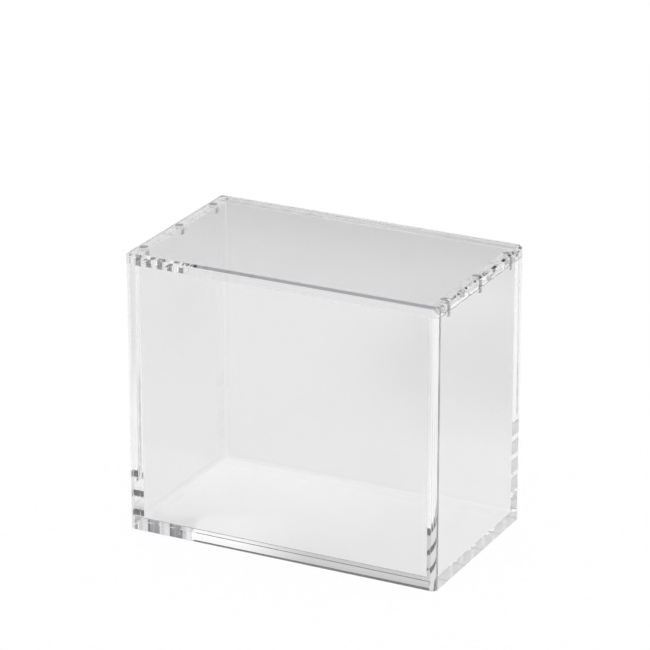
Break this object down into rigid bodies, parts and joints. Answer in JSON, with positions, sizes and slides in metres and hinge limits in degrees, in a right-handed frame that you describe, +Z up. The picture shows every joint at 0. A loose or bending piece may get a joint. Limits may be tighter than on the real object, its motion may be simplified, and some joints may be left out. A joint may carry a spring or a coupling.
{
  "type": "booster box display case",
  "caption": "Clear rectangular acrylic display case with polished edges and a flat loose lid held at both short sides by disc magnets.",
  "frame": {"origin": "centre of the flat underside, at the height of the surface the case stands on", "axes": "+Z up; X along the long side; the front face looks towards -Y"},
  "size_m": [0.158, 0.093, 0.137],
  "materials": {
    "acrylic": "clear cast acrylic, polished",
    "magnet": "nickel plated"
  },
  "bodies": {
    "case": {"base_panel": "acrylic", "front_panel": "acrylic", "back_panel": "acrylic", "left_panel": "acrylic", "right_panel": "acrylic", "wall_magnet_left_front": "magnet", "wall_magnet_left_middle": "magnet", "wall_magnet_left_back": "magnet", "wall_magnet_right_front": "magnet", "wall_magnet_right_middle": "magnet", "wall_magnet_right_back": "magnet"},
    "lid": {"lid_panel": "acrylic", "lid_magnet_left_front": "magnet", "lid_magnet_left_middle": "magnet", "lid_magnet_left_back": "magnet", "lid_magnet_right_front": "magnet", "lid_magnet_right_middle": "magnet", "lid_magnet_right_back": "magnet"}
  },
  "joints": [
    {"name": "lid_lift", "type": "slide", "parent": "case", "child": "lid", "axis": [0, 0, 1], "range_m": [0, 0.15]}
  ]
}
